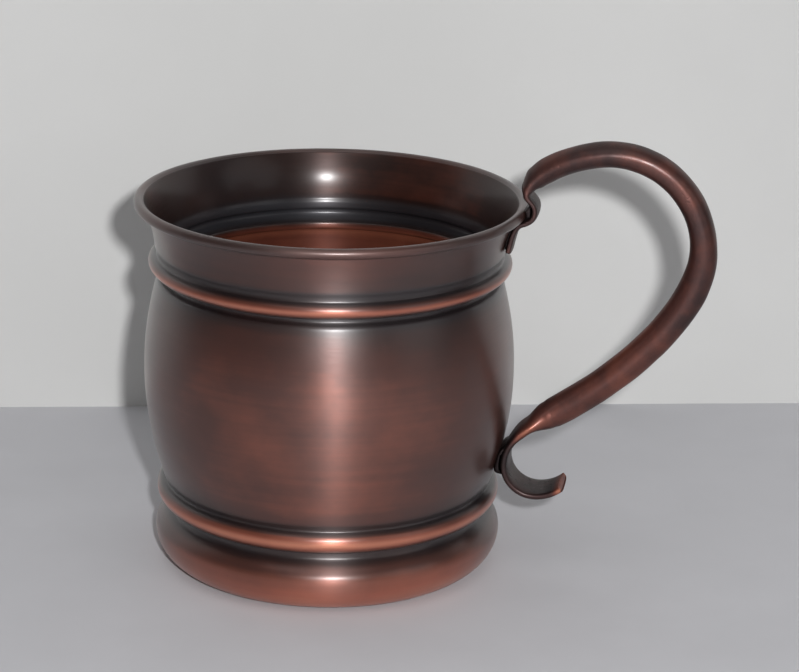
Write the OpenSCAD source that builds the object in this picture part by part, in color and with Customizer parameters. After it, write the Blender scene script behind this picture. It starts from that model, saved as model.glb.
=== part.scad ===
// Copper mug: a spun copper shell with two rolled beads, and a copper tube handle.
// The mug stands on z = 0 with its axis on Z, and the handle points along +X.

/* [Shell] */
// Thickness of the copper sheet
wall = 0.9; // [0.6:0.05:1.2]
// Outer diameter of the rolled rim
rim_d = 98; // [80:1:122]
// Diameter of the roll of the rim
roll_d = 2.6; // [2.4:0.1:3.2]
// Outer diameter of the neck, just above the upper bead
neck_d = 87.4; // [72:0.2:90]
// Height of the neck, from the upper bead's groove to the rim
neck_h = 12.7; // [11:0.1:18]
// Radius of the curve that flares the neck out to the rim
flare_r = 27; // [22:1:40]
// Outer diameter of the barrel at its widest
barrel_d = 93.4; // [78:0.2:112]
// Outer diameter of the barrel's upper edge
barrel_top_d = 86.6; // [76:0.2:90]
// Outer diameter of the barrel's lower edge
barrel_low_d = 83.8; // [72:0.2:92]
// Height of the barrel between its two beads
barrel_h = 51.7; // [40:0.1:66]
// Height of the barrel's widest place above its lower edge
barrel_swell_h = 28.2; // [16:0.1:34]

/* [Beads] */
// Height of the upper bead
upper_bead_h = 4.2; // [3:0.1:5]
// Outer diameter of the upper bead's crest
upper_bead_d = 90.8; // [86:0.2:96]
// Height of the groove under the upper bead
upper_groove_h = 1.7; // [1:0.1:3]
// Outer diameter at the bottom of that groove
upper_groove_d = 83.4; // [78:0.2:85]
// Height of the groove above the upper bead
neck_groove_h = 1.9; // [1:0.1:3]
// Height of the lower bead
lower_bead_h = 5.6; // [4:0.1:7]
// Outer diameter of the lower bead's crest
lower_bead_d = 87.2; // [83:0.2:92]
// Height of the groove above the lower bead
lower_groove_h = 1.2; // [1:0.1:3]
// Outer diameter at the bottom of that groove
lower_groove_d = 82.8; // [76:0.2:84]
// Height of the groove between the lower bead and the foot
foot_groove_h = 2; // [1:0.1:3]
// Outer diameter at the bottom of that groove
foot_groove_d = 79.8; // [74:0.2:82]

/* [Foot] */
// Outer diameter of the foot at its widest
foot_d = 88; // [80:0.5:96]
// Diameter of the flat that the mug stands on
base_d = 73; // [56:0.5:76]
// Height of the foot's widest place
foot_swell_h = 8; // [5:0.1:10]
// Height of the whole foot, up to its groove
foot_h = 13.5; // [12:0.1:18]

/* [Handle] */
// Outer diameter of the handle's tube
tube_d = 7.7; // [6.2:0.1:9.4]
// Thickness of the tube's wall
tube_wall = 0.75; // [0.5:0.05:0.75]
// Thickness of the tube's upper end, where it is pinched flat around the rim
tab_t = 1.6; // [1.6:0.05:1.8]
// Thickness of the tube's lower end, where it is pinched flat and curls out
tail_t = 2; // [1.6:0.05:2.4]
// Width of the tube's upper end, where it is pinched flat
tab_w = 8.8; // [8:0.1:11]
// Width of the tube's lower end, where it is pinched flat
tail_w = 11.8; // [10:0.1:14]
// Thickness of the tube, across the bend, where the loop has flattened it a little
bent_t = 6.3; // [5:0.1:7.7]
// How far the middle of the tube stands out from the rim
handle_reach = 43.2; // [30:0.1:55]
// How far the middle of the tube rises above the rim
handle_rise = 14.7; // [10:0.1:20]
// Depth of the loop's outermost place below the rim
grip_drop = 8.9; // [2:0.1:20]
// Gap that the solder fills between the rim's roll and the strap around it
rim_gap = 1.4; // [0.5:0.1:2]
// Length of the flat tab below the rim
tab_l = 8; // [6:0.1:9]
// Gap that the solder fills between the tab and the neck
tab_gap = 0.15; // [0.1:0.05:0.4]
// Height of the lower seat above the barrel's lower edge
seat_h = 6.3; // [4:0.1:16]
// Gap that the solder fills between the lower seat and the barrel
seat_gap = 1; // [0.8:0.05:1.5]
// Radius of the curl from the lower seat to its lowest place
tail_r = 7.8; // [6:0.1:9]
// Radius of the curl from there to its end
tail_end_r = 10.5; // [8:0.1:14]
// Angle that the curl still turns through from its lowest place to its end
tail_turn = 40; // [10:1:80]

/* [Solder] */
// Gap left all round each solder seam
solder_fit = 0.02; // [0.01:0.01:0.05]
// How far the edge of the solder stays inside the edge of the strap
solder_inset = 0.6; // [0.3:0.1:1.5]

/* [Hidden] */

copper = "#9a5238";
dark_copper = "#6d3b2e";
solder_grey = "#77726f";

// Steps along each curved stretch of the shell, along its long flare, and around it
curve_steps = 12;
flare_steps = 24;
turn_steps = 180;
// Points around the tube
tube_sides = 20;

// Radii that the diameters give
rim_r = rim_d / 2;
roll_r = roll_d / 2;
neck_r = neck_d / 2;
barrel_r = barrel_d / 2;
barrel_top_r = barrel_top_d / 2;
barrel_low_r = barrel_low_d / 2;
upper_bead_r = upper_bead_d / 2;
upper_groove_r = upper_groove_d / 2;
lower_bead_r = lower_bead_d / 2;
lower_groove_r = lower_groove_d / 2;
foot_groove_r = foot_groove_d / 2;
foot_r = foot_d / 2;
base_r = base_d / 2;
tube_r = tube_d / 2;

// Heights, each stretch standing on the one below it
lower_bead_z = foot_h + foot_groove_h;
lower_groove_z = lower_bead_z + lower_bead_h;
barrel_z = lower_groove_z + lower_groove_h;
swell_z = barrel_z + barrel_swell_h;
upper_groove_z = barrel_z + barrel_h;
upper_bead_z = upper_groove_z + upper_groove_h;
neck_groove_z = upper_bead_z + upper_bead_h;
neck_z = neck_groove_z + neck_groove_h;
height = neck_z + neck_h;

// The rim's roll, and the hollow inside it
roll_c = [rim_r - roll_r, height - roll_r];
hollow_r = roll_r - wall;
// Angles at which the curl leaves the flare, and at which the edge of the sheet ends under it
curl_start = 10;
curl_end = -112;

// The flare's arc ends tangent to the roll, so its centre follows from the two
flare_x = neck_r + flare_r;
flare_z = roll_c.y - sqrt((flare_r - hollow_r) ^ 2 - (flare_x - roll_c.x) ^ 2);
flare_end = atan2(roll_c.y - flare_z, roll_c.x - flare_x);

// Height of the sharp step at the edge of each groove
step_h = 0.35;

function neck_radius(z) = flare_x - sqrt(flare_r ^ 2 - (z - flare_z) ^ 2);

function barrel_radius(z) =
    let (low = z < swell_z,
         end_r = low ? barrel_low_r : barrel_top_r,
         end_z = low ? barrel_z : upper_groove_z)
    barrel_r - (barrel_r - end_r) * ((z - swell_z) / (end_z - swell_z)) ^ 2;

function arc(c, a, b, from, to, steps = curve_steps) =
    [for (i = [0:steps]) let (w = from + (to - from) * i / steps)
        [c.x + a * cos(w), c.y + b * sin(w)]];

// How late the foot turns in to its groove: 2 would be a plain parabola
foot_turn = 2.4;

// One skin of the foot: off is 0 for the outer skin and the wall for the inner one
function foot_skin(off) = concat(
    arc([base_r, foot_swell_h], foot_r - off - base_r, foot_swell_h - off, -90, 0),
    [for (i = [1:curve_steps]) let (s = i / curve_steps)
        [foot_r - off - (foot_r - foot_groove_r) * s ^ foot_turn,
         foot_swell_h + (foot_h - foot_swell_h) * s]]);

// One skin of a bead, a half ellipse between its two grooves
function bead_skin(z, h, crest, below, above, off) =
    [for (i = [0:curve_steps]) let (w = -90 + 180 * i / curve_steps,
                                    side = below + (above - below) * i / curve_steps)
        [side - off + (crest - (below + above) / 2) * cos(w),
         z + h / 2 + (h - off) / 2 * sin(w)]];

function barrel_skin(off) =
    [for (i = [0:2 * curve_steps]) let (z = barrel_z + barrel_h * i / (2 * curve_steps))
        [barrel_radius(z) - off, z]];

// Everything from the foot to the upper bead
function body_skin(off) = concat(
    foot_skin(off),
    bead_skin(lower_bead_z, lower_bead_h, lower_bead_r, foot_groove_r, lower_groove_r, off),
    [[lower_groove_r - off, barrel_z - step_h]],
    barrel_skin(off),
    [[upper_groove_r - off, upper_groove_z + step_h]],
    bead_skin(upper_bead_z, upper_bead_h, upper_bead_r, upper_groove_r, neck_r - step_h, off),
    [[neck_r - step_h - off, neck_z - step_h]]);

neck_start = 180 - asin((neck_z - flare_z) / flare_r);

function neck_skin(off) =
    arc([flare_x, flare_z], flare_r + off, flare_r + off, neck_start, flare_end, flare_steps);

function reversed(list) = [for (i = [len(list) - 1:-1:0]) list[i]];

// The section of the sheet: up the outer skin, round the rim's curl, and down the inner skin
sheet = concat(
    [[0, 0]],
    body_skin(0),
    neck_skin(0),
    arc(roll_c, hollow_r, hollow_r, flare_end - curl_start, curl_end),
    arc(roll_c, roll_r, roll_r, curl_end, flare_end - curl_start),
    reversed(neck_skin(wall)),
    reversed(body_skin(wall)),
    [[0, wall]]);

module mug_body() {
    color(copper)
        rotate_extrude($fn = turn_steps)
            polygon(sheet);
}

tab_half = tab_t / 2;
tail_half = tail_t / 2;
bent_half = bent_t / 2;

// Heights of the handle's two seats
tab_z = height - roll_d - tab_l;
seat_z = barrel_z + seat_h;

function unit(heading) = [cos(heading), sin(heading)];

// How much the tab leans out from the neck that it follows
tab_lean = 3;
tab_heading = 90 - asin((tab_z - flare_z) / flare_r) - tab_lean;
tab_end = [neck_radius(tab_z), tab_z] + (tab_gap + tab_half) * unit(tab_heading - 90);
// Where the bend passes the rim's roll: outside its middle, and the gap that it leaves below it
bend_out = 0.45;
bend_gap = 0.15;
// Height of the bend's neck above the rim, where the tube begins to open out
bend_rise = 3.9;
// How far inside the middle of the loop its top stands
top_in = 1;
// Where the lower limb begins to turn down, out from the lower seat and above it
limb_out = 13.6;
limb_up = 13.2;

// Knots of the tube's middle line in the XZ plane, from the tab to the lower seat. Each has
// its place, its heading, and how hard it pulls the curve before it and after it.
knots = [
    [tab_end, tab_heading, 0, 4],
    [[roll_c.x + bend_out, roll_c.y - roll_r - tab_half - bend_gap], 18, 1.9, 1.9],
    [[rim_r + rim_gap + tab_half, height], 92, 2, 2],
    [[rim_r, height + bend_rise], 97, 1.4, 4.4],
    [[rim_r + handle_reach / 2 - top_in, height + handle_rise], 0, 9.6, 12.4],
    [[rim_r + handle_reach, height - grip_drop], -90, 13.2, 15],
    [[barrel_radius(seat_z) + limb_out, seat_z + limb_up], -148, 20, 4.6],
    [[barrel_radius(seat_z) + seat_gap + tail_half, seat_z], -90, 7.4, 0]];

// Rings along each stretch between two knots, and along the curl
span_rings = [8, 9, 8, 16, 14, 16, 14];
tail_rings = 14;

function bezier(p, t) =
    (1 - t) ^ 3 * p[0] + 3 * t * (1 - t) ^ 2 * p[1] + 3 * t ^ 2 * (1 - t) * p[2] + t ^ 3 * p[3];

function span(i) = [
    knots[i][0],
    knots[i][0] + knots[i][3] * unit(knots[i][1]),
    knots[i + 1][0] - knots[i + 1][2] * unit(knots[i + 1][1]),
    knots[i + 1][0]];

// The curl below the seat is two arcs, which meet at its lowest place
tail = len(knots) - 1;
tail_low = knots[tail][0] + [tail_r, -tail_r];

function tail_point(t) =
    t < 1 ? tail_low + [0, tail_r] + tail_r * unit(180 + 90 * t)
          : tail_low + [0, tail_end_r] + tail_end_r * unit(270 + tail_turn * (t - 1));

// Place on the middle line: u counts the stretches, and the last two are the curl
function line_point(u) = u < tail ? bezier(span(floor(u)), u - floor(u)) : tail_point(u - tail);

function line_heading(u) =
    let (d = 0.002,
         v = line_point(min(u + d, tail + 2)) - line_point(max(u - d, 0)))
    atan2(v.y, v.x);

stations = concat(
    [for (i = [0:tail - 1]) for (k = [0:span_rings[i] - 1]) i + k / span_rings[i]],
    [for (k = [0:tail_rings]) tail + 2 * k / tail_rings]);

function between(a, b, share) = a + (b - a) * share;

// Half thickness of the tube across its bend, at stations from the tab's strap to the curl's
half_ts = [
    [0, tab_half], [2.6, tab_half], [3, between(tab_half, bent_half, 0.09)],
    [3.12, between(tab_half, bent_half, 0.43)], [3.28, between(tab_half, bent_half, 0.87)],
    [3.42, bent_half], [4.8, bent_half], [5.25, tube_r], [5.95, tube_r],
    [6.1, between(tube_r, tail_half, 0.12)], [6.45, between(tube_r, tail_half, 0.79)],
    [6.75, tail_half], [9, tail_half]];

// Half width that the tube is pinched to, which goes from the tab's to the tail's along the loop
strap_halves = [[3.4, tab_w / 2], [4.8, tail_w / 2]];

// How much squarer than an ellipse the tube's section gets where it is pinched flat
pinch_square = 1.6;

// The tube's section at station u, an oval that widens and squares up as it is pinched flat
function section(u, off) =
    let (half_t = lookup(u, half_ts),
         pinch = (tube_r - half_t) / (tube_r - tail_half),
         power = 2 / (2 + pinch_square * (tube_r - half_t) / (tube_r - tab_half)),
         a = tube_r + (lookup(u, strap_halves) - tube_r) * min(1, pinch) - off,
         b = half_t - off)
    [for (k = [0:tube_sides - 1]) let (w = 360 * (k + 0.5) / tube_sides)
        [a * sign(cos(w)) * abs(cos(w)) ^ power, b * sign(sin(w)) * abs(sin(w)) ^ power]];

function ring(u, off) =
    let (p = line_point(u), n = unit(line_heading(u) + 90))
    [for (q = section(u, off)) [p.x + q.y * n.x, q.x, p.y + q.y * n.y]];

module handle() {
    rings = len(stations);
    skin = rings * tube_sides;
    points = concat(
        [for (u = stations) each ring(u, 0)],
        [for (u = stations) each ring(u, tube_wall)]);
    // Corners of the four-sided patches: along the tube, round the tube, and at its two ends
    patches = concat(
        [for (i = [0:rings - 2]) for (k = [0:tube_sides - 1])
            let (m = (k + 1) % tube_sides, a = i * tube_sides, b = a + tube_sides)
            each [[a + k, b + k, b + m, a + m],
                  [skin + a + m, skin + b + m, skin + b + k, skin + a + k]]],
        [for (k = [0:tube_sides - 1])
            let (m = (k + 1) % tube_sides, a = skin - tube_sides)
            each [[k, m, skin + m, skin + k],
                  [a + m, a + k, skin + a + k, skin + a + m]]]);
    faces = [for (q = patches) each [[q[0], q[1], q[2]], [q[0], q[2], q[3]]]];
    color(dark_copper)
        polyhedron(points, faces, convexity = 8);
}

// Stations along the tube between which the seams lie. The rim's seam also ends at two angles
// around the roll.
neck_seam_end = 0.62;
rim_seam = [1.6, 2.3, 60, -35];
seat_seam_start = 6.55;

// One side of the strap, from station a to station b, with the solder's gap to it
function strap_face(a, b, side) =
    [for (i = [0:curve_steps]) let (u = a + (b - a) * i / curve_steps)
        line_point(u) + (lookup(u, half_ts) + solder_fit) * unit(line_heading(u) + side)];

// A seam behind a strap w wide: the outline turned about the mug's axis
module seam(outline, r, w) {
    half_turn = asin((w / 2 - solder_inset) / r);
    color(solder_grey)
        rotate([0, 0, -half_turn])
            rotate_extrude(angle = 2 * half_turn, $fn = turn_steps)
                polygon(outline);
}

module neck_solder() {
    face = strap_face(0, neck_seam_end, 90);
    low = face[0].y;
    top = face[curve_steps].y;
    wall_side = [for (i = [0:curve_steps]) let (z = top - (top - low) * i / curve_steps)
        [neck_radius(z) + solder_fit, z]];
    seam(concat(face, wall_side), neck_r, tab_w);
}

module rim_solder() {
    face = strap_face(rim_seam[0], rim_seam[1], 90);
    roll_side = arc(roll_c, roll_r + solder_fit, roll_r + solder_fit, rim_seam[2], rim_seam[3]);
    seam(concat(face, roll_side), rim_r, tab_w);
}

module seat_solder() {
    face = strap_face(seat_seam_start, tail, -90);
    top = face[0].y;
    low = face[curve_steps].y;
    wall_side = [for (i = [0:curve_steps]) let (z = low + (top - low) * i / curve_steps)
        [barrel_radius(z) + solder_fit, z]];
    seam(concat(face, wall_side), barrel_radius(seat_z), tail_w);
}

mug_body();
handle();
neck_solder();
rim_solder();
seat_solder();
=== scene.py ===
import math

import bpy
from mathutils import Matrix, Vector, noise


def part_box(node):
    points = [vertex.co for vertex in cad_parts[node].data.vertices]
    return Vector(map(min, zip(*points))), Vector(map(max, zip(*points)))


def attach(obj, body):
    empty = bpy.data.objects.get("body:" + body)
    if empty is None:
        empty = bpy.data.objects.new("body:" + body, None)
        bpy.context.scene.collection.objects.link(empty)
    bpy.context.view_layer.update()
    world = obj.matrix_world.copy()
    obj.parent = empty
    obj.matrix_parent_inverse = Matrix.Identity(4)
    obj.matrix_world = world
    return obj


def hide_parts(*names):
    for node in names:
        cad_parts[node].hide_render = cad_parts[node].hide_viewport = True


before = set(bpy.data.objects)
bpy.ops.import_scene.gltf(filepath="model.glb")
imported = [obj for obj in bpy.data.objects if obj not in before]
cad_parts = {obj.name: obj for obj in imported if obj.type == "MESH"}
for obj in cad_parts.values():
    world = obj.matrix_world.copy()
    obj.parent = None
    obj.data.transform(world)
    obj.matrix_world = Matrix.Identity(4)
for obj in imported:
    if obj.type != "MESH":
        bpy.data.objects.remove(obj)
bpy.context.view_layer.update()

# The sizes below are millimetres, in the CAD model's frame. The shell stands on z = 0 with its
# axis on Z, and the handle points along +X.
MM = 0.001
shell_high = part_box("mug_body")[1]
RIM_R = shell_high.x / MM
HEIGHT = shell_high.z / MM

# The shell, as the CAD model has it
WALL = 0.9
ROLL_R = 1.3
NECK_R = 43.7
FLARE_R = 27.0
BARREL_R = 46.7
BARREL_TOP_R = 43.3
BARREL_LOW_R = 41.9
SWELL_Z = 50.5
BARREL_Z = 22.3
FOOT_R = 44.0
BASE_R = 36.5
FOOT_SWELL_Z = 8.0
# How sharply the foot's side turns in towards its groove
FOOT_TURN = 2.4
# Height and depth of the small step at a groove's edge
STEP = 0.35
# Grooves: their lower edge, their upper edge and their radius
FOOT_GROOVE = (13.5, 15.5, 39.9)
LOWER_GROOVE = (21.1, 22.3, 41.4)
UPPER_GROOVE = (74.0, 75.7, 41.7)
NECK_GROOVE = (79.9, 81.8, NECK_R - STEP)
LOWER_BEAD_R = 43.6
UPPER_BEAD_R = 45.4

ROLL_X = RIM_R - ROLL_R
ROLL_Z = HEIGHT - ROLL_R
HOLLOW_R = ROLL_R - WALL
FLARE_X = NECK_R + FLARE_R
FLARE_Z = ROLL_Z - math.sqrt((FLARE_R - HOLLOW_R) ** 2 - (FLARE_X - ROLL_X) ** 2)
FLARE_START = math.pi - math.asin((NECK_GROOVE[1] - FLARE_Z) / FLARE_R)
FLARE_END = math.atan2(ROLL_Z - FLARE_Z, ROLL_X - FLARE_X)
CURL_END = math.radians(-112)
# Radius of the first ring of the bottom, which closes to almost a point
CENTRE_R = 0.01

# The handle, as the CAD model has it. The halves are of its thickness across the bend, except
# the last two, which are of its width where it is pinched flat.
TUBE_R = 3.85
TAB_HALF = 0.8
TAIL_HALF = 1.0
BENT_HALF = 3.15
TAB_WIDE_HALF = 4.4
STRAP_HALF = 5.9
handle_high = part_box("handle")[1]
REACH = handle_high.x / MM - RIM_R - BENT_HALF
RISE = handle_high.z / MM - HEIGHT - BENT_HALF
GRIP_DROP = 8.9
TAB_Z = 83.9
# The tab leans this many degrees from the flare's slope, and stands this far off it
TAB_LEAN = 3
TAB_GAP = 0.15
# The bend under the rim: out from the roll's middle, and down from the roll
BEND_OUT = 0.45
BEND_GAP = 0.15
# The strap passes this far outside the rim, and crosses over it this far above
RIM_GAP = 1.4
BEND_RISE = 3.9
# The handle's crest stands this far inside the middle of its reach
CREST_IN = 1.0
# The lower seat: its height, its gap to the barrel, and where the tube starts to turn in to it
SEAT_Z = 28.6
SEAT_GAP = 1.0
SEAT_OUT = 13.6
SEAT_RISE = 13.2
# The curl below the seat: a quarter turn, and then a wider stretch of so many degrees
TAIL_R = 7.8
TAIL_END_R = 10.5
TAIL_TURN = 40.0


# ---------------------------------------------------------------- shapes shared by the pieces

def between(a, b, share):
    return a + (b - a) * share


def eased(table, at):
    """The value of a table of (place, value) rows at a place, passing the rows smoothly."""
    for (a, low), (b, high) in zip(table, table[1:]):
        if at <= b:
            t = (at - a) / (b - a)
            return between(low, high, t * t * (3 - 2 * t))
    return table[-1][1]


def arc(x, z, rx, rz, start, stop, steps):
    """Points on a stretch of an ellipse, from one angle in radians to another."""
    turn = (stop - start) / steps
    return [
        (x + rx * math.cos(start + turn * i), z + rz * math.sin(start + turn * i))
        for i in range(steps + 1)
    ]


def resample(points, gap):
    """The same line with its points about gap apart."""
    line = [points[0]]
    for a, b in zip(points, points[1:]):
        steps = max(1, round(math.dist(a, b) / gap))
        line += [
            tuple(p + (q - p) * i / steps for p, q in zip(a, b))
            for i in range(1, steps + 1)
        ]
    return line


def soften(points, passes):
    """The same line with its corners rounded: each pass moves a point halfway to its neighbours."""
    for _ in range(passes):
        inner = [
            tuple((p + 2 * q + r) / 4 for p, q, r in zip(a, b, c))
            for a, b, c in zip(points, points[1:], points[2:])
        ]
        points = [points[0]] + inner + [points[-1]]
    return points


def grid_object(name, rings, material, relief=None):
    """A mesh over closed rings of points. relief is a value for each point, which the materials
    read."""
    count = len(rings[0])
    verts = [tuple(c * MM for c in p) for ring in rings for p in ring]
    faces = [
        (i * count + k, i * count + (k + 1) % count,
         (i + 1) * count + (k + 1) % count, (i + 1) * count + k)
        for i in range(len(rings) - 1)
        for k in range(count)
    ]
    mesh = bpy.data.meshes.new(name)
    mesh.from_pydata(verts, [], faces)
    if relief is not None:
        layer = mesh.attributes.new("relief", "FLOAT", "POINT")
        layer.data.foreach_set("value", relief)
    mesh.shade_smooth()
    obj = bpy.data.objects.new(name, mesh)
    bpy.context.scene.collection.objects.link(obj)
    mesh.materials.append(material)
    return obj


# ---------------------------------------------------------------- the shell

def barrel_radius(z):
    end_r, end_z = (
        (BARREL_LOW_R, BARREL_Z) if z < SWELL_Z else (BARREL_TOP_R, UPPER_GROOVE[0])
    )
    return BARREL_R - (BARREL_R - end_r) * ((z - SWELL_Z) / (end_z - SWELL_Z)) ** 2


def neck_radius(z):
    return FLARE_X - math.sqrt(FLARE_R ** 2 - (z - FLARE_Z) ** 2)


def barrel_skin(offset):
    steps = 60
    heights = [between(BARREL_Z, UPPER_GROOVE[0], i / steps) for i in range(steps + 1)]
    return [(barrel_radius(z) - offset, z) for z in heights]


def bead_skin(below, above, crest, offset):
    """A bead between the groove below it and the groove above it."""
    steps = 36
    low, high = below[1], above[0]
    bulge = crest - (below[2] + above[2]) / 2
    skin = []
    for i in range(steps + 1):
        turn = math.pi * (i / steps - 0.5)
        side = below[2] + (above[2] - below[2]) * i / steps
        skin.append((
            side - offset + bulge * math.cos(turn),
            (low + high) / 2 + (high - low - offset) / 2 * math.sin(turn),
        ))
    return skin


def foot_skin(offset):
    steps = 24
    corner = arc(BASE_R, FOOT_SWELL_Z, FOOT_R - offset - BASE_R, FOOT_SWELL_Z - offset,
                 -math.pi / 2, 0, steps)
    side = [
        (FOOT_R - offset - (FOOT_R - FOOT_GROOVE[2]) * (i / steps) ** FOOT_TURN,
         FOOT_SWELL_Z + (FOOT_GROOVE[0] - FOOT_SWELL_Z) * i / steps)
        for i in range(1, steps + 1)
    ]
    return corner + side


FLARE_STEPS = 40
UNDER_CURL_STEPS = 10
OVER_CURL_STEPS = 40
# Points along the sheet lie this far apart, and each corner is rounded by so many passes
SHEET_SPACING = 0.45
SHEET_SOFTENING = 2


def shell_skin(offset):
    """One side of the sheet, from the edge of the flat it stands on up to the roll of the rim."""
    flare_r = FLARE_R + offset
    return (
        foot_skin(offset)
        + bead_skin(FOOT_GROOVE, LOWER_GROOVE, LOWER_BEAD_R, offset)
        + [(LOWER_GROOVE[2] - offset, LOWER_GROOVE[1] - STEP)]
        + barrel_skin(offset)
        + [(UPPER_GROOVE[2] - offset, UPPER_GROOVE[0] + STEP)]
        + bead_skin(UPPER_GROOVE, NECK_GROOVE, UPPER_BEAD_R, offset)
        + [(NECK_GROOVE[2] - offset, NECK_GROOVE[1] - STEP)]
        + arc(FLARE_X, FLARE_Z, flare_r, flare_r, FLARE_START, FLARE_END, FLARE_STEPS)
    )


# How bright the copper is at heights up the shell's outside and its inside: patina has settled
# round the grooves, and the beads and the foot are rubbed bright
OUTSIDE_PATINA = [
    (0, 0.34), (4, 0.36), (8, 0.26), (11.5, 0.04), (FOOT_GROOVE[0], -0.4),
    (FOOT_GROOVE[1], -0.4), (16.7, 0.2), (18.4, 0.75), (20, 0.25), (LOWER_GROOVE[0], -0.45),
    (LOWER_GROOVE[1], -0.4), (24, -0.1), (28, 0.05), (60, 0.1), (67, 0.06), (71, 0),
    (UPPER_GROOVE[0], -0.3), (UPPER_GROOVE[1], -0.4), (76.4, 0.2), (77.8, 0.75),
    (79, 0.25), (NECK_GROOVE[0], -0.3), (NECK_GROOVE[1], -0.35), (83, 0), (88, 0.05),
    (HEIGHT, 0.05)]
INSIDE_PATINA = [
    (0, 0), (FOOT_GROOVE[0], 0), (FOOT_GROOVE[1], 0.3), (17, -0.4), (20, -0.4),
    (LOWER_GROOVE[1], 0.3), (25, 0), (71.5, 0), (UPPER_GROOVE[0], 0.35),
    (UPPER_GROOVE[1], 0.1), (76.8, -0.55), (80.5, -0.55), (84, 0), (HEIGHT, 0)]
RIM_PATINA = 0.25


def shell_section():
    """The sheet's section, up its outside, round the curl of the rim and down its inside."""
    outside = [(CENTRE_R, 0.0)] + shell_skin(0)
    under_curl = arc(ROLL_X, ROLL_Z, HOLLOW_R, HOLLOW_R, FLARE_END, CURL_END, UNDER_CURL_STEPS)
    over_curl = arc(ROLL_X, ROLL_Z, ROLL_R, ROLL_R, CURL_END, FLARE_END, OVER_CURL_STEPS)
    inside = shell_skin(WALL)[::-1] + [(CENTRE_R, WALL)]
    outside = soften(resample(outside, SHEET_SPACING), SHEET_SOFTENING)
    inside = soften(resample(inside, SHEET_SPACING), SHEET_SOFTENING)
    return outside, under_curl + over_curl, inside


# Unevenness that hand finishing leaves: how deep in mm, and how many waves to a mm
SHELL_SWELL = (0.1, 0.045)
SHELL_RIPPLE = (0.025, 0.13)
TUBE_SWELL = (0.09, 0.16)
TUBE_RIPPLE = (0.025, 0.5)
SHELL_SIDES = 288


def dented(x, y, z):
    """A point of the spun shell, moved in or out by the unevenness, whose waves lie round it."""
    swell = noise.noise(Vector((x, y, z * 1.4)) * SHELL_SWELL[1])
    ripple = noise.noise(Vector((x + 90, y, z * 1.6)) * SHELL_RIPPLE[1])
    share = SHELL_SWELL[0] * swell + SHELL_RIPPLE[0] * ripple
    radius = math.hypot(x, y) or 1.0
    return (x * (1 + share / radius), y * (1 + share / radius), z)


def make_shell(materials):
    outside, curl, inside = shell_section()
    relief = (
        [eased(OUTSIDE_PATINA, z) for _, z in outside]
        + [RIM_PATINA] * len(curl)
        + [eased(INSIDE_PATINA, z) for _, z in inside]
    )
    turns = [2 * math.pi * k / SHELL_SIDES for k in range(SHELL_SIDES)]
    rings = [
        [dented(r * math.cos(turn), r * math.sin(turn), z) for turn in turns]
        for r, z in outside + curl + inside
    ]
    spread = [value for value in relief for _ in range(SHELL_SIDES)]
    shell = grid_object("shell", rings, materials["outside"], relief=spread)
    shell.data.materials.append(materials["rim"])
    shell.data.materials.append(materials["inside"])
    first_curl = (len(outside) - 1) * SHELL_SIDES
    first_inside = (len(outside) + len(curl) - 1) * SHELL_SIDES
    slots = [
        0 if i < first_curl else 1 if i < first_inside else 2
        for i in range(len(shell.data.polygons))
    ]
    shell.data.polygons.foreach_set("material_index", slots)
    return shell


# ---------------------------------------------------------------- the handle

def unit(degrees):
    return Vector((math.cos(math.radians(degrees)), math.sin(math.radians(degrees))))


TAB_HEADING = 90 - TAB_LEAN - math.degrees(math.asin((TAB_Z - FLARE_Z) / FLARE_R))
TAB_END = Vector((neck_radius(TAB_Z), TAB_Z)) + (TAB_GAP + TAB_HALF) * unit(TAB_HEADING - 90)
SEAT_R = barrel_radius(SEAT_Z)
# Knots of the tube's middle line, from the tab under the rim to the lower seat: place, heading,
# and how hard each pulls the curve before it and after it
KNOTS = [
    (TAB_END, TAB_HEADING, 0, 4),
    ((ROLL_X + BEND_OUT, ROLL_Z - ROLL_R - TAB_HALF - BEND_GAP), 18, 1.9, 1.9),
    ((RIM_R + RIM_GAP + TAB_HALF, HEIGHT), 92, 2, 2),
    ((RIM_R, HEIGHT + BEND_RISE), 97, 1.4, 4.4),
    ((RIM_R + REACH / 2 - CREST_IN, HEIGHT + RISE), 0, 9.6, 12.4),
    ((RIM_R + REACH, HEIGHT - GRIP_DROP), -90, 13.2, 15),
    ((SEAT_R + SEAT_OUT, SEAT_Z + SEAT_RISE), -148, 20, 4.6),
    ((SEAT_R + SEAT_GAP + TAIL_HALF, SEAT_Z), -90, 7.4, 0),
]
# The curl's two stretches come after the last knot
TAIL = len(KNOTS) - 1
TUBE_END = TAIL + 2

# Half thickness of the tube across its bend, at stations along it
HALF_TS = [
    (0, TAB_HALF), (2.6, TAB_HALF), (3, between(TAB_HALF, BENT_HALF, 0.09)),
    (3.12, between(TAB_HALF, BENT_HALF, 0.43)), (3.28, between(TAB_HALF, BENT_HALF, 0.87)),
    (3.42, BENT_HALF), (4.8, BENT_HALF), (5.25, TUBE_R), (5.95, TUBE_R),
    (6.1, between(TUBE_R, TAIL_HALF, 0.12)), (6.45, between(TUBE_R, TAIL_HALF, 0.79)),
    (6.75, TAIL_HALF), (9, TAIL_HALF),
]
# Half width of the strap that the tube is pinched to, at its upper end and at its lower end
STRAP_HALVES = [(0, TAB_WIDE_HALF), (3.4, TAB_WIDE_HALF), (4.8, STRAP_HALF), (9, STRAP_HALF)]
# How much squarer than an oval the section is where it is pinched flat
PINCH_SQUARE = 1.6
TUBE_SIDES = 48
# Rows of the tube's mesh to each stretch between two knots
TUBE_STEPS = 46
# Where the tube opens out of the strap, its sides stay folded to a ridge for a while
RIDGES = [(0, 0), (2.9, 0), (3.3, 0.3), (3.8, 0.2), (4.4, 0), (5.95, 0), (6.35, 0.3), (6.6, 0.15),
          (6.85, 0), (9, 0)]


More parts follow.
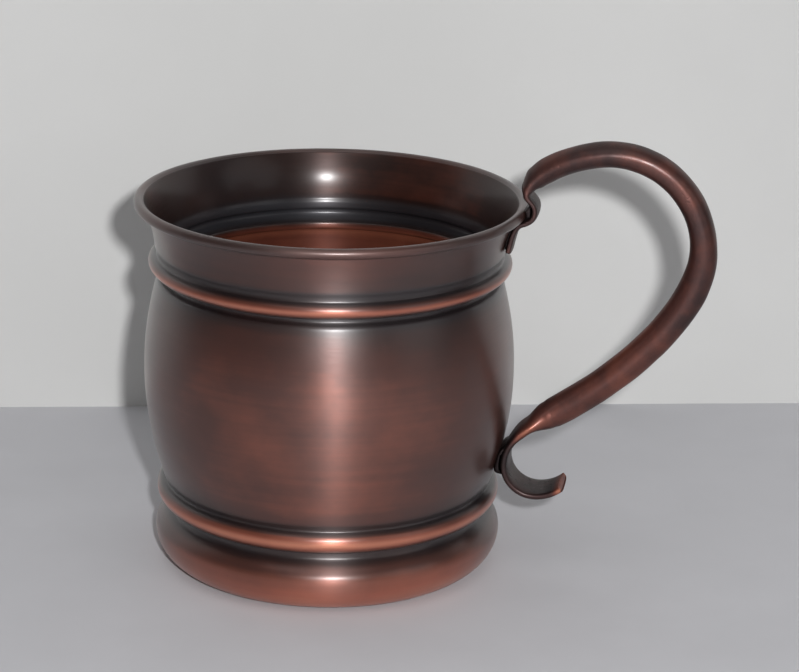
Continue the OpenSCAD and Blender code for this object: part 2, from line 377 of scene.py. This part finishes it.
def line_point(u):
    """Place on the tube's middle line: u counts the stretches, and the last two are the curl."""
    if u < TAIL:
        i = int(u)
        t = u - i
        (start, heading, _, pull), (end, next_heading, next_pull, _) = KNOTS[i], KNOTS[i + 1]
        p = Vector(start)
        s = Vector(end)
        q = p + pull * unit(heading)
        r = s - next_pull * unit(next_heading)
        return ((1 - t) ** 3 * p + 3 * t * (1 - t) ** 2 * q
                + 3 * t * t * (1 - t) * r + t ** 3 * s)
    low = Vector(KNOTS[TAIL][0]) + Vector((TAIL_R, -TAIL_R))
    t = u - TAIL
    if t < 1:
        return low + Vector((0, TAIL_R)) + TAIL_R * unit(180 + 90 * t)
    return low + Vector((0, TAIL_END_R)) + TAIL_END_R * unit(270 + TAIL_TURN * (t - 1))


def line_normal(u):
    step = 0.002
    way = line_point(min(u + step, TUBE_END)) - line_point(max(u - step, 0))
    way.normalize()
    return Vector((-way.y, way.x))


def around(k):
    """The angle of side k of the tube."""
    return 2 * math.pi * (k + 0.5) / TUBE_SIDES


def tube_section(u, shrink):
    """The tube's section at u: an oval that squares up as it is pinched flat. shrink takes its
    edge in, at the two ends."""
    half_t = eased(HALF_TS, u)
    pinch = (TUBE_R - half_t) / (TUBE_R - TAB_HALF)
    power = 2 / (2 + PINCH_SQUARE * pinch) + eased(RIDGES, u)
    spread = min(1, (TUBE_R - half_t) / (TUBE_R - TAIL_HALF))
    a = between(TUBE_R, eased(STRAP_HALVES, u), spread) - shrink
    b = half_t - shrink
    section = []
    for k in range(TUBE_SIDES):
        c, s = math.cos(around(k)), math.sin(around(k))
        section.append((a * math.copysign(abs(c) ** power, c),
                        b * math.copysign(abs(s) ** power, s)))
    return section


# How bright the tube's copper is at stations along it, and how much its pinched edges are rubbed.
# The lift on the lower limb, from 5.6 to 6.4, is a painted reflection of the table and the flash.
TUBE_TONES = [(0, -0.34), (2.2, -0.34), (3.6, -0.12), (4.4, -0.14), (5.0, -0.1), (5.6, 0.06),
              (6.4, 0.08), (6.8, -0.4), (8.6, -0.36), (8.97, 0.2), (9, 0.2)]
EDGE_RUB = [(0, 0.1), (2.8, 0.15), (3.6, 0), (5.9, 0), (6.5, 0.45), (7, 0.0), (7.8, 0.1),
            (9, 0.4)]

# Each end is drawn in over this many millimetres, in rows at these angles. Its face is domed, and
# a narrow fold runs round the face, inside the wall.
END_EDGE = 0.8
END_TURNS = [math.radians(degrees) for degrees in (90, 78, 66, 54, 42, 30, 18, 8)]
# How much of its half thickness the last row of an end loses, which leaves almost nothing
END_CLOSE = 0.999


def end_rows(u, half, inwards):
    """The rows that draw in one end of the tube, from its middle out: station, how much the
    section shrinks, and how far the row moves along the tube."""
    return [(u, half * END_CLOSE, 0)] + [
        (u, (1 - math.cos(a)) * END_EDGE, inwards * (1 - math.sin(a)) * END_EDGE)
        for a in END_TURNS
    ]


def make_handle(material):
    along = [(i / TUBE_STEPS, 0, 0) for i in range(TUBE_END * TUBE_STEPS + 1)]
    rows = end_rows(0, TAB_HALF, 1) + along + end_rows(TUBE_END, TAIL_HALF, -1)[::-1]
    rings = []
    relief = []
    for u, shrink, move in rows:
        normal = line_normal(u)
        middle = line_point(u) + move * Vector((normal.y, -normal.x))
        ring = []
        for k, (y, t) in enumerate(tube_section(u, shrink)):
            p = Vector((middle.x + t * normal.x, y, middle.y + t * normal.y))
            swell = noise.noise(p * TUBE_SWELL[1]) * TUBE_SWELL[0]
            ripple = noise.noise(p * TUBE_RIPPLE[1]) * TUBE_RIPPLE[0]
            grow = 1 + (swell + ripple) / (math.hypot(y, t) or 1.0)
            ring.append((middle.x + t * grow * normal.x, y * grow,
                         middle.y + t * grow * normal.y))
            brightened = abs(math.cos(around(k))) ** 6
            relief.append(eased(TUBE_TONES, u) + eased(EDGE_RUB, u) * brightened)
        rings.append(ring)
    return grid_object("tube", rings, material, relief=relief)


# ---------------------------------------------------------------- the solder

SEAM_SLICES = 28
SEAM_STEPS = 16
# A seam reaches this far into the tube and into the shell, so that no gap shows
TUBE_SINK = 0.04
SHELL_SINK = 0.05
# The least share of its thickness that a seam keeps at its ends
THINNEST = 0.02
# Unevenness of the seams' skin: how deep in mm, and how many waves to a mm
SEAM_WAVE = (0.12, 0.9)
# Stations on the tube between which each seam lies, and half of its width
NECK_SEAM = (0.02, 0.9)
NECK_SEAM_HALF = TAB_WIDE_HALF + 0.2
RIM_SEAM = (1.5, 2.45)
RIM_SEAM_HALF = TAB_WIDE_HALF - 0.6
SEAT_SEAM = (6.78, 7.22)
SEAT_SEAM_HALF = STRAP_HALF - 0.9
# The rim's seam goes round the roll between these angles in degrees
RIM_SEAM_TURN = (-48, 75)


def along_line(line, at):
    """The point at a place along a line, counted in its stretches."""
    low = min(int(at), SEAM_STEPS - 1)
    return Vector(line[low]).lerp(Vector(line[low + 1]), at - low)


def make_seam(name, face, wall, half_width, material):
    """A seam of solder between the strap and the shell. face is a line down the strap and wall
    is the same line on the shell, as (radius, height): the seam follows the shell round, and its
    ends hollow in between the two like a drop."""
    rings = []
    for j in range(SEAM_SLICES + 1):
        share = 2 * j / SEAM_SLICES - 1
        y = half_width * math.sin(share * math.pi / 2)
        thin = max(THINNEST, math.sqrt(max(0.0, 1 - abs(share) ** 3)))
        ring = []
        for side in (0, 1):
            for i in range(SEAM_STEPS + 1):
                t = i / SEAM_STEPS if side == 0 else 1 - i / SEAM_STEPS
                at = (0.5 + (t - 0.5) * (0.55 + 0.45 * thin)) * SEAM_STEPS
                f = along_line(face, at)
                w = along_line(wall, at)
                w.x = math.sqrt(w.x ** 2 - y ** 2)
                w = f.lerp(w, 1 - 0.9 * abs(2 * t - 1) ** 6)
                middle = (f + w) / 2
                p = middle + ((f if side == 0 else w) - middle) * thin
                wave = noise.noise(Vector((p.x, y, p.y)) * SEAM_WAVE[1]) * SEAM_WAVE[0] * thin
                ring.append((p.x, y + wave, p.y + wave))
        rings.append(ring)
    return grid_object(name, rings, material)


def strap_side(stretch, side):
    """A line on one face of the tube, between two stations."""
    stations = [between(*stretch, i / SEAM_STEPS) for i in range(SEAM_STEPS + 1)]
    return [
        line_point(u) + side * (eased(HALF_TS, u) - TUBE_SINK) * line_normal(u)
        for u in stations
    ]


def make_solder(material):
    at_neck = strap_side(NECK_SEAM, 1)
    neck = [(neck_radius(p.y) - SHELL_SINK, p.y) for p in at_neck]
    at_rim = strap_side(RIM_SEAM, 1)
    hug = ROLL_R - SHELL_SINK
    turns = [
        math.radians(between(*RIM_SEAM_TURN, i / SEAM_STEPS)) for i in range(SEAM_STEPS + 1)
    ]
    rim = [(ROLL_X + hug * math.cos(a), ROLL_Z + hug * math.sin(a)) for a in turns]
    at_seat = strap_side(SEAT_SEAM, -1)
    seat = [(barrel_radius(p.y) - SHELL_SINK, p.y) for p in at_seat]
    return {
        "neck_solder": make_seam("neck_seam", at_neck, neck, NECK_SEAM_HALF, material),
        "rim_solder": make_seam("rim_seam", at_rim, rim, RIM_SEAM_HALF, material),
        "seat_solder": make_seam("seat_seam", at_seat, seat, SEAT_SEAM_HALF, material),
    }


# ---------------------------------------------------------------- materials

class Nodes:
    """A material's nodes, made by short calls."""

    def __init__(self, name):
        self.material = bpy.data.materials.new(name)
        self.material.use_nodes = True
        self.tree = self.material.node_tree
        self.shader = self.tree.nodes["Principled BSDF"]

    def add(self, kind, **settings):
        node = self.tree.nodes.new(kind)
        for key, value in settings.items():
            if key in node.inputs:
                node.inputs[key].default_value = value
            else:
                setattr(node, key, value)
        return node

    def link(self, out, into):
        self.tree.links.new(out, into)

    def place(self, scale):
        """The point on the object, with each axis scaled, in 1/m."""
        where = self.add("ShaderNodeTexCoord")
        mapping = self.add("ShaderNodeMapping", Scale=scale)
        self.link(where.outputs["Object"], mapping.inputs["Vector"])
        return mapping.outputs["Vector"]

    def noise(self, scale, detail=4.0, seed=0.0):
        """A noise value around 0.5. A different seed moves it to another place."""
        vector = self.place(scale)
        if seed:
            move = self.add("ShaderNodeVectorMath", operation="ADD")
            move.inputs[1].default_value = (seed, seed * 1.7, seed * 2.3)
            self.link(vector, move.inputs[0])
            vector = move.outputs[0]
        node = self.add("ShaderNodeTexNoise", Scale=1.0, Detail=detail, Roughness=0.55)
        self.link(vector, node.inputs["Vector"])
        return node.outputs["Fac"]

    def sum(self, a, b, clamp=False):
        node = self.add("ShaderNodeMath", operation="ADD", use_clamp=clamp)
        self.link(a, node.inputs[0])
        self.link(b, node.inputs[1])
        return node.outputs[0]

    def ramp(self, value, stops):
        node = self.add("ShaderNodeValToRGB")
        points = node.color_ramp.elements
        while len(points) < len(stops):
            points.new(1.0)
        for point, (at, color) in zip(points, stops):
            point.position = at
            point.color = (*color, 1.0)
        self.link(value, node.inputs["Fac"])
        return node.outputs["Color"]

    def range(self, value, low, high, to_low=0.0, to_high=1.0):
        node = self.add("ShaderNodeMapRange")
        for name, v in (("From Min", low), ("From Max", high), ("To Min", to_low),
                        ("To Max", to_high)):
            node.inputs[name].default_value = v
        self.link(value, node.inputs["Value"])
        return node.outputs["Result"]

    def multiply(self, a, b):
        """One colour times another."""
        node = self.add("ShaderNodeMix", data_type="RGBA", blend_type="MULTIPLY")
        node.inputs[0].default_value = 1.0
        self.link(a, node.inputs[6])
        self.link(b, node.inputs[7])
        return node.outputs[2]

    def bump(self, height, distance, strength, under=None):
        node = self.add("ShaderNodeBump", Distance=distance, Strength=strength)
        self.link(height, node.inputs["Height"])
        if under is not None:
            self.link(under, node.inputs["Normal"])
        return node.outputs["Normal"]


# The patina is part metal and part dark glaze: the glaze's refraction, and the share of metal on
# the spun shell and on the drawn tube
PATINA_IOR = 2.1
SPUN_METALLIC = 0.6
DRAWN_METALLIC = 0.7
# The colours of the shell from its deepest groove to its brightest crest
OUTSIDE_TONES = [
    (0.0, (0.016, 0.014, 0.018)), (0.3, (0.026, 0.016, 0.018)), (0.42, (0.05, 0.018, 0.014)),
    (0.53, (0.105, 0.029, 0.018)), (0.72, (0.4, 0.105, 0.055)), (1.0, (0.8, 0.3, 0.17))]
INSIDE_TONES = [
    (0.0, (0.06, 0.064, 0.076)), (0.3, (0.03, 0.022, 0.024)), (0.45, (0.036, 0.015, 0.012)),
    (0.6, (0.2, 0.056, 0.034)), (0.8, (0.55, 0.18, 0.1)), (1.0, (0.8, 0.33, 0.19))]
# Below the first height the copper is brighter by the third, up to the second: the foot is rubbed
# bright, and the inside is lighter below the neck
FOOT_RUB = (0.002, 0.011, 0.08)
INSIDE_LOWER_LIFT = (0.072, 0.077, 0.2)
# A painted highlight: the place on the barrel's lower front, facing the camera, where the tone is
# lifted to stand in for the broad reflection of the lit table, how far the lift reaches, and how
# far it is at its full
HIGHLIGHT_PATCH_AT = (0.015, -0.043, 0.027)
HIGHLIGHT_PATCH_REACH = 0.045
HIGHLIGHT_PATCH_FULLY = 0.008


def copper_tone(n, bias, shift, brightening):
    """How bright the shell's copper is, from 0 to 1, without the grain of the brushing."""
    relief = n.add("ShaderNodeAttribute", attribute_name="relief").outputs["Fac"]
    blotch = n.noise((24, 24, 30), detail=5, seed=3.1)
    streak = n.noise((22, 22, 620), detail=3, seed=7.7)
    tone = n.sum(n.range(relief, -1.1, 1.1), n.range(blotch, 0.3, 0.7, -0.08, 0.08))
    tone = n.sum(tone, n.range(streak, 0.3, 0.7, -0.012, 0.012))
    level = n.add("ShaderNodeSeparateXYZ")
    n.link(n.place((1, 1, 1)), level.inputs[0])
    tone = n.sum(tone, n.range(level.outputs["Z"], shift[0], shift[1], bias + shift[2], bias))
    # A painted highlight: the tone is lifted in a patch on the barrel's lower front that faces the
    # camera, where the broad reflection of the lit table shows.
    away = n.add("ShaderNodeVectorMath", operation="DISTANCE")
    away.inputs[1].default_value = HIGHLIGHT_PATCH_AT
    n.link(n.place((1, 1, 1)), away.inputs[0])
    brightened = n.range(away.outputs["Value"], HIGHLIGHT_PATCH_FULLY, HIGHLIGHT_PATCH_REACH, brightening, 0)
    return n.sum(tone, brightened, clamp=True)


def spun_copper(name, tones, bias, roughness, shift, anisotropy=0.86, coat=0.8,
                coat_roughness=0.29, edge=1.0, brightening=0.0):
    """Lacquered copper, darkened with patina and polished back where it stands proud. bias moves
    the range of tones, and shift is (height, height, more): below the first height it moves by
    more, in metres. edge is the strength of the glaze's shine, and the last argument paints a
    highlight: it lifts the tone in a patch on the barrel's lower front, facing the camera, where
    the broad reflection of the lit table shows."""
    n = Nodes(name)
    tone = copper_tone(n, bias, shift, brightening)
    brush = n.noise((45, 45, 5200), detail=2, seed=1.3)
    lines = n.ramp(n.range(brush, 0.25, 0.75, 0.9, 1.0), [(0.0, (0, 0, 0)), (1.0, (1, 1, 1))])
    color = n.multiply(n.ramp(tone, tones), lines)
    rough = n.sum(n.range(tone, 0.1, 0.8, roughness + 0.06, roughness - 0.06),
                  n.range(brush, 0.3, 0.7, -0.03, 0.03))
    normal = n.bump(brush, 0.00002, 0.3)
    normal = n.bump(n.noise((420, 420, 700), detail=3), 0.00003, 0.3, under=normal)
    tangent = n.add("ShaderNodeTangent", direction_type="RADIAL", axis="Z")
    shader = n.shader
    shader.inputs["Metallic"].default_value = SPUN_METALLIC
    shader.inputs["IOR"].default_value = PATINA_IOR
    shader.inputs["Anisotropic"].default_value = anisotropy
    shader.inputs["Anisotropic Rotation"].default_value = 0.25
    shader.inputs["Specular Tint"].default_value = (edge, edge, edge, 1)
    shader.inputs["Coat Weight"].default_value = coat
    shader.inputs["Coat Roughness"].default_value = coat_roughness
    n.link(tangent.outputs[0], shader.inputs["Tangent"])
    n.link(color, shader.inputs["Base Color"])
    n.link(rough, shader.inputs["Roughness"])
    n.link(normal, shader.inputs["Normal"])
    return n.material


DRAWN_TONES = [
    (0.0, (0.016, 0.013, 0.015)), (0.3, (0.055, 0.028, 0.027)), (0.5, (0.13, 0.048, 0.038)),
    (0.75, (0.26, 0.088, 0.06)), (1.0, (0.5, 0.19, 0.12))]
SOLDER_TONES = [
    (0.3, (0.025, 0.02, 0.021)), (0.6, (0.06, 0.048, 0.048)), (0.75, (0.25, 0.23, 0.22))]


def drawn_copper(name):
    """The handle's tube: smoother, darker patina with pits and rubbed patches."""
    n = Nodes(name)
    relief = n.add("ShaderNodeAttribute", attribute_name="relief").outputs["Fac"]
    blotch = n.noise((60, 60, 60), detail=5, seed=2.2)
    brightening = n.noise((150, 150, 110), detail=4, seed=5.9)
    pits = n.noise((900, 900, 900), detail=2, seed=8.4)
    tone = n.sum(n.range(blotch, 0.3, 0.7, 0.28, 0.62), n.range(brightening, 0.3, 0.7, -0.1, 0.12))
    color = n.ramp(n.sum(tone, relief, clamp=True), DRAWN_TONES)
    rough = n.range(brightening, 0.3, 0.7, 0.52, 0.42)
    normal = n.bump(n.range(pits, 0.3, 0.42), 0.00005, 0.6)
    shader = n.shader
    shader.inputs["Coat Weight"].default_value = 0.4
    shader.inputs["Coat Roughness"].default_value = 0.26
    shader.inputs["Specular Tint"].default_value = (0.35, 0.26, 0.23, 1)
    shader.inputs["Metallic"].default_value = DRAWN_METALLIC
    shader.inputs["IOR"].default_value = PATINA_IOR
    n.link(color, shader.inputs["Base Color"])
    n.link(rough, shader.inputs["Roughness"])
    n.link(normal, shader.inputs["Normal"])
    return n.material


def soft_solder(name):
    """Dull grey solder with a pebbled skin."""
    n = Nodes(name)
    cloud = n.noise((260, 260, 260), detail=4, seed=4.4)
    grain = n.noise((1500, 1500, 1500), detail=3, seed=6.1)
    color = n.ramp(cloud, SOLDER_TONES)
    rough = n.range(grain, 0.3, 0.7, 0.3, 0.5)
    normal = n.bump(grain, 0.00006, 0.6)
    n.shader.inputs["Metallic"].default_value = 1.0
    n.link(color, n.shader.inputs["Base Color"])
    n.link(rough, n.shader.inputs["Roughness"])
    n.link(normal, n.shader.inputs["Normal"])
    return n.material


def pale(name, tone, scale, one_sided=False):
    """A pale matt surface with faint clouding, for the table and the wall. A one-sided surface
    is clear from behind, so that it never hides the mug."""
    n = Nodes(name)
    cloud = n.noise((scale, scale, scale), detail=3)
    color = n.ramp(cloud, [
        (0.3, tuple(c * 0.97 for c in tone)), (0.7, tuple(min(1.0, c * 1.02) for c in tone))])
    n.link(color, n.shader.inputs["Base Color"])
    n.shader.inputs["Roughness"].default_value = 0.75
    n.link(n.bump(n.noise((400, 400, 400)), 0.00005, 0.3), n.shader.inputs["Normal"])
    if one_sided:
        side = n.add("ShaderNodeNewGeometry").outputs["Backfacing"]
        clear = n.add("ShaderNodeBsdfTransparent")
        either = n.add("ShaderNodeMixShader")
        n.link(side, either.inputs[0])
        n.link(n.shader.outputs[0], either.inputs[1])
        n.link(clear.outputs[0], either.inputs[2])
        n.link(either.outputs[0], n.tree.nodes["Material Output"].inputs["Surface"])
    return n.material


# ---------------------------------------------------------------- the stage

CAMERA_TURN = math.radians(10.7)
CAMERA_DISTANCE = 0.64034
CAMERA_HEIGHT = 0.26677
CAMERA_PITCH = math.radians(18.053)
CAMERA_YAW = math.radians(1.575)
CAMERA_ROLL = math.radians(1.215)
CAMERA_LENS = 120.18
WALL_TURN = math.radians(13.6)
WALL_DISTANCE = 0.110
STAGE_SIZE = 3.0


def make_camera():
    """The camera stands at the photograph's place. It is set up as if it looked along +Y, and
    then turned about the mug's axis."""
    way = Vector((math.sin(CAMERA_YAW) * math.cos(CAMERA_PITCH),
                  math.cos(CAMERA_YAW) * math.cos(CAMERA_PITCH),
                  -math.sin(CAMERA_PITCH)))
    right = way.cross(Vector((0, 0, 1))).normalized()
    up = right.cross(way)
    rolled_right = math.cos(CAMERA_ROLL) * right + math.sin(CAMERA_ROLL) * up
    rolled_up = math.cos(CAMERA_ROLL) * up - math.sin(CAMERA_ROLL) * right
    turn = Matrix.Rotation(CAMERA_TURN, 4, "Z")
    pose = Matrix((rolled_right, rolled_up, -way)).transposed().to_4x4()
    pose.translation = Vector((0, -CAMERA_DISTANCE, CAMERA_HEIGHT))
    data = bpy.data.cameras.new("camera")
    data.lens = CAMERA_LENS
    data.sensor_width = 36.0
    camera = bpy.data.objects.new("camera", data)
    camera.matrix_world = turn @ pose
    bpy.context.scene.collection.objects.link(camera)
    bpy.context.scene.camera = camera


def seen_from_camera(right, up, away):
    """A point placed from the camera's side: right and up of the mug's axis at the table, and
    away from it towards the camera, in metres."""
    turn = Matrix.Rotation(CAMERA_TURN, 4, "Z")
    return turn @ Vector((right, -away, up))


def plane(name, corners, material):
    mesh = bpy.data.meshes.new(name)
    mesh.from_pydata(corners, [], [(0, 1, 2, 3)])
    obj = bpy.data.objects.new(name, mesh)
    bpy.context.scene.collection.objects.link(obj)
    mesh.materials.append(material)


def make_stage():
    size = STAGE_SIZE
    plane("table", [(-size, -size, 0), (size, -size, 0), (size, size, 0), (-size, size, 0)],
          pale("table_paint", (0.62, 0.62, 0.65), 30))
    turn = Matrix.Rotation(WALL_TURN, 4, "Z")
    corners = [(-size, WALL_DISTANCE, 0), (size, WALL_DISTANCE, 0),
               (size, WALL_DISTANCE, size), (-size, WALL_DISTANCE, size)]
    plane("wall", [turn @ Vector(c) for c in corners],
          pale("wall_paint", (0.72, 0.72, 0.71), 12, one_sided=True))


def area_light(name, at, target, size, power):
    data = bpy.data.lights.new(name, "AREA")
    data.shape = "DISK"
    data.size = size
    data.energy = power
    light = bpy.data.objects.new(name, data)
    light.location = at
    light.rotation_mode = "QUATERNION"
    light.rotation_quaternion = (target - at).to_track_quat("-Z", "Y")
    bpy.context.scene.collection.objects.link(light)


def make_lights():
    middle = Vector((0, 0, 0.05))
    area_light("flash", seen_from_camera(0.04, 0.30, 0.64), middle, 0.022, 3.4)
    area_light("right_box", seen_from_camera(0.85, 0.45, 0.55), middle, 0.8, 0.9)
    area_light("top_box", seen_from_camera(-0.1, 1.2, 0.45), middle, 1.0, 1.7)
    world = bpy.data.worlds.new("room")
    bpy.context.scene.world = world
    world.use_nodes = True
    background = world.node_tree.nodes["Background"]
    background.inputs["Color"].default_value = (0.55, 0.55, 0.54, 1)
    background.inputs["Strength"].default_value = 0.15


# ---------------------------------------------------------------- everything together

materials = {
    # The outside carries the painted highlight on the barrel's lower front.
    "outside": spun_copper("shell_outside", OUTSIDE_TONES, -0.06, 0.46, FOOT_RUB, brightening=0.13),
    "rim": spun_copper("shell_rim", OUTSIDE_TONES, -0.19, 0.5, FOOT_RUB, anisotropy=0.3),
    "inside": spun_copper("shell_inside", INSIDE_TONES, -0.06, 0.42, INSIDE_LOWER_LIFT, coat=0.5,
                          coat_roughness=0.22, edge=0.45),
}
pieces = {"mug_body": make_shell(materials), "handle": make_handle(drawn_copper("handle_skin"))}
pieces.update(make_solder(soft_solder("solder_skin")))
for node, piece in pieces.items():
    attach(piece, "root")
    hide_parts(node)

make_camera()
make_stage()
make_lights()
bpy.context.scene.view_settings.view_transform = "Standard"
